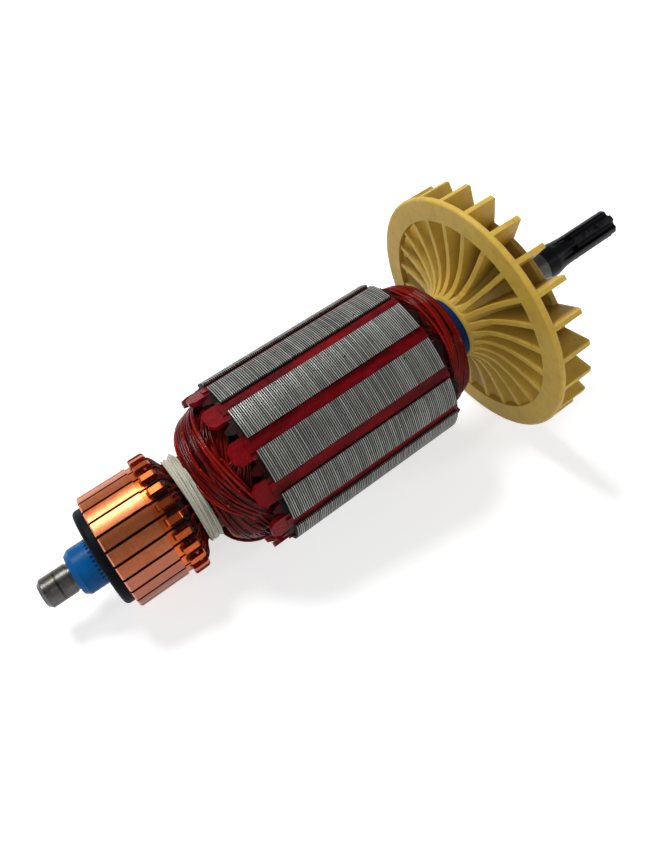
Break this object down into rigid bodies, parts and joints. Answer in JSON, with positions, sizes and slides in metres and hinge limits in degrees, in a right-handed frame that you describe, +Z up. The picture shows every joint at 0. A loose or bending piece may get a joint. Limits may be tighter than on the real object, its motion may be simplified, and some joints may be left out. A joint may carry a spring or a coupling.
{
  "type": "motor armature",
  "caption": "Wound rotor of a small electric motor: laminated core, hook commutator, crossing coils, moulded radial fan and a shaft that ends in a pinion.",
  "frame": {"origin": "centre of the overall box, on the floor", "axes": "+X along the floor under the shaft, towards the pinion; +Z up; the shaft lies in the XZ plane and rises towards the pinion by about 10.7 degrees"},
  "size_m": [0.1732, 0.0692, 0.0697],
  "materials": {
    "ground_steel": "ground, blackened at the neck and pinion",
    "blue_plastic": "moulded",
    "electrical_steel": "stamped sheet edges",
    "black_fibre": "matt",
    "liner_paper": "varnished",
    "enamelled_copper": "enamel under varnish",
    "binding_string": "varnished string",
    "phenolic": "moulded",
    "commutator_copper": "turned and run in",
    "red_fibre": "varnished",
    "fan_nylon": "moulded, slightly translucent"
  },
  "bodies": {
    "root": {"shaft": "ground_steel", "shaft_insulation": "blue_plastic", "lamination_stack": "electrical_steel", "end_insulator_front": "black_fibre", "end_insulator_back": "black_fibre", "slot_liners": "liner_paper", "slot_conductors": "enamelled_copper", "winding_head_front": "enamelled_copper", "winding_head_back": "enamelled_copper", "lead_wires": "enamelled_copper", "string_binding": "binding_string", "commutator_core": "phenolic", "fan": "fan_nylon", "commutator_bar_01": "commutator_copper", "commutator_bar_02": "commutator_copper", "commutator_bar_03": "commutator_copper", "commutator_bar_04": "commutator_copper", "commutator_bar_05": "commutator_copper", "commutator_bar_06": "commutator_copper", "commutator_bar_07": "commutator_copper", "commutator_bar_08": "commutator_copper", "commutator_bar_09": "commutator_copper", "commutator_bar_10": "commutator_copper", "commutator_bar_11": "commutator_copper", "commutator_bar_12": "commutator_copper", "commutator_bar_13": "commutator_copper", "commutator_bar_14": "commutator_copper", "commutator_bar_15": "commutator_copper", "commutator_bar_16": "commutator_copper", "commutator_bar_17": "commutator_copper", "commutator_bar_18": "commutator_copper", "commutator_bar_19": "commutator_copper", "commutator_bar_20": "commutator_copper", "commutator_bar_21": "commutator_copper", "commutator_bar_22": "commutator_copper", "commutator_bar_23": "commutator_copper", "commutator_bar_24": "commutator_copper", "slot_wedge_01": "red_fibre", "slot_wedge_02": "red_fibre", "slot_wedge_03": "red_fibre", "slot_wedge_04": "red_fibre", "slot_wedge_05": "red_fibre", "slot_wedge_06": "red_fibre", "slot_wedge_07": "red_fibre", "slot_wedge_08": "red_fibre", "slot_wedge_09": "red_fibre", "slot_wedge_10": "red_fibre", "slot_wedge_11": "red_fibre", "slot_wedge_12": "red_fibre"}
  },
  "joints": []
}
